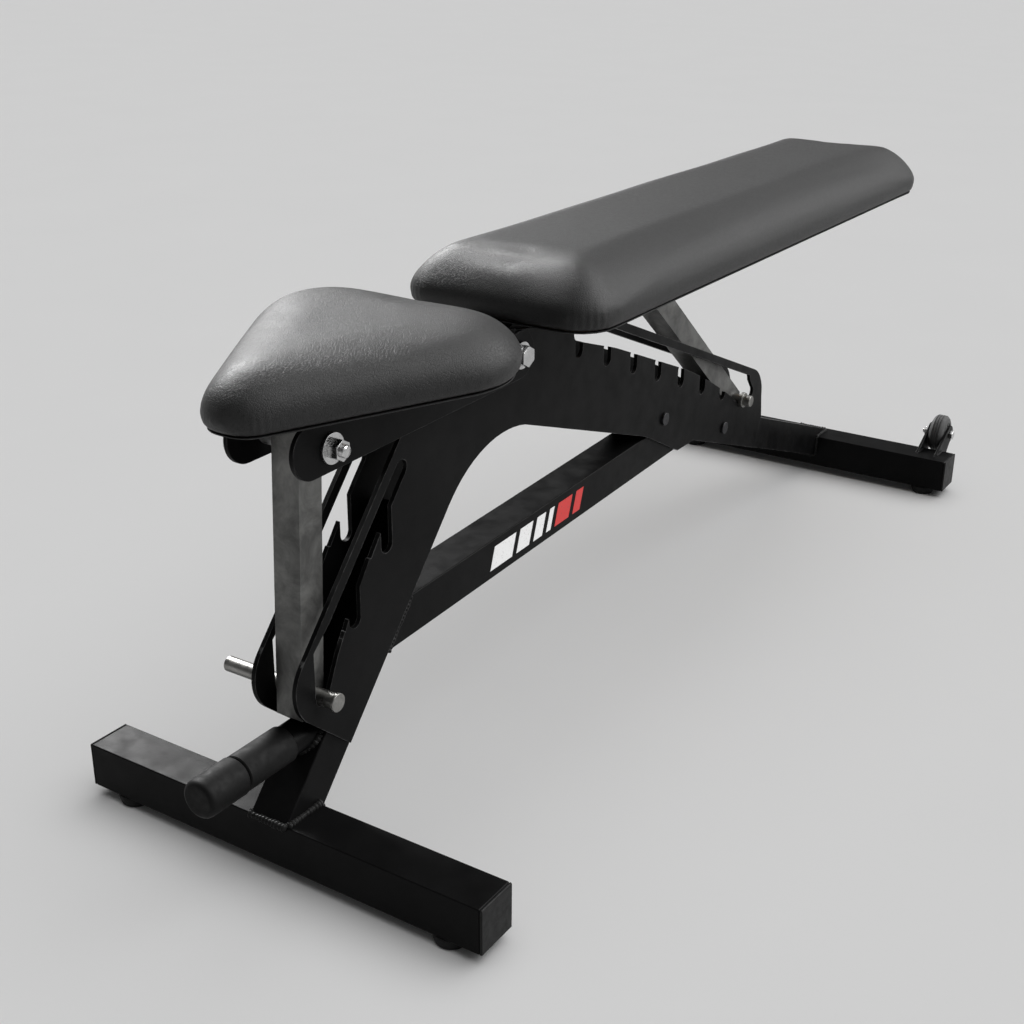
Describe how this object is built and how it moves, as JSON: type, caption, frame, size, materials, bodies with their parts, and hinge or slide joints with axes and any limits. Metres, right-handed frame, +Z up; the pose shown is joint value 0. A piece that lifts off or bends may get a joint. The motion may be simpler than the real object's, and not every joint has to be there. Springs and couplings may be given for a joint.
{
  "type": "adjustable weight bench",
  "caption": "Adjustable weight bench with folding seat and back rest, slotted side plates, locking pins, front handle and rear transport wheels.",
  "frame": {"origin": "middle of the floor under the bench's bounding box", "axes": "+Z up, +Y along the bench from the seat end to the head end, +X across it to the right"},
  "size_m": [0.5, 1.531, 0.543],
  "materials": {
    "frame_black": "semi-gloss powder coat",
    "plate_black": "semi-gloss powder coat",
    "cap_plastic": "moulded",
    "rubber_black": "matte",
    "zinc_post": "dull zinc",
    "steel_pin": "turned",
    "black_oxide": "black oxide",
    "chrome_bolt": "bright",
    "steel_spacer": "satin",
    "vinyl_grey": "grained",
    "plywood": "raw",
    "wheel_rubber": "matte"
  },
  "bodies": {
    "frame": {"front_foot": "frame_black", "rear_foot": "frame_black", "front_foot_caps": "cap_plastic", "rear_foot_caps": "cap_plastic", "rubber_feet": "rubber_black", "front_leg": "frame_black", "spine_tube": "frame_black", "rear_leg": "frame_black", "side_plate_left": "plate_black", "side_plate_right": "plate_black", "frame_bolts": "black_oxide", "frame_nuts": "black_oxide", "handle_bar": "frame_black", "handle_grip": "rubber_black", "handle_end_cap": "rubber_black", "pivot_bolt": "chrome_bolt", "pivot_nut": "chrome_bolt", "pivot_washers": "chrome_bolt", "pivot_spacers": "steel_spacer", "wheel_bracket_left": "plate_black", "wheel_bracket_right": "plate_black", "wheel_bolt_left": "chrome_bolt", "wheel_bolt_right": "chrome_bolt", "wheel_nut_left": "chrome_bolt", "wheel_nut_right": "chrome_bolt"},
    "seat": {"seat_bar_left": "plate_black", "seat_bar_right": "plate_black", "seat_straps": "plate_black", "seat_board": "plywood", "seat_pad": "vinyl_grey", "seat_screws": "steel_spacer", "seat_post_bolt": "chrome_bolt", "seat_post_nut": "chrome_bolt", "seat_post_washers": "chrome_bolt", "seat_post_spacers": "steel_spacer"},
    "seat_post": {"seat_post": "zinc_post", "seat_pin": "steel_pin", "seat_post_cap": "cap_plastic"},
    "back": {"back_frame": "plate_black", "back_ears": "plate_black", "back_board": "plywood", "back_pad": "vinyl_grey", "back_screws": "steel_spacer", "back_post_bolt": "black_oxide", "back_post_nut": "black_oxide", "back_frame_cap": "cap_plastic"},
    "back_post": {"back_post": "zinc_post", "back_pin": "steel_pin", "back_pin_collars": "steel_pin"},
    "wheel_left": {"wheel_left": "wheel_rubber"},
    "wheel_right": {"wheel_right": "wheel_rubber"}
  },
  "joints": [
    {"name": "seat_hinge", "type": "hinge", "parent": "frame", "child": "seat", "pos_m": [0, -0.2935, 0.442], "axis": [-1, 0, 0], "range_deg": [0, 26]},
    {"name": "seat_post_hinge", "type": "hinge", "parent": "seat", "child": "seat_post", "pos_m": [0, -0.6065, 0.434], "axis": [-1, 0, 0], "range_deg": [-39.65, 0]},
    {"name": "back_hinge", "type": "hinge", "parent": "frame", "child": "back", "pos_m": [0, -0.2935, 0.442], "axis": [1, 0, 0], "range_deg": [0, 64]},
    {"name": "back_post_hinge", "type": "hinge", "parent": "back", "child": "back_post", "pos_m": [0, 0.0655, 0.429], "axis": [1, 0, 0], "range_deg": [-119.04, 0]},
    {"name": "wheel_left_hinge", "type": "hinge", "parent": "frame", "child": "wheel_left", "pos_m": [-0.203, 0.7355, 0.08], "axis": [1, 0, 0], "continuous": true},
    {"name": "wheel_right_hinge", "type": "hinge", "parent": "frame", "child": "wheel_right", "pos_m": [0.203, 0.7355, 0.08], "axis": [1, 0, 0], "continuous": true}
  ],
  "couplings": [
    {"joint": "seat_post_hinge", "follows": "seat_hinge", "ratio": -1.525},
    {"joint": "back_post_hinge", "follows": "back_hinge", "ratio": -1.86}
  ]
}
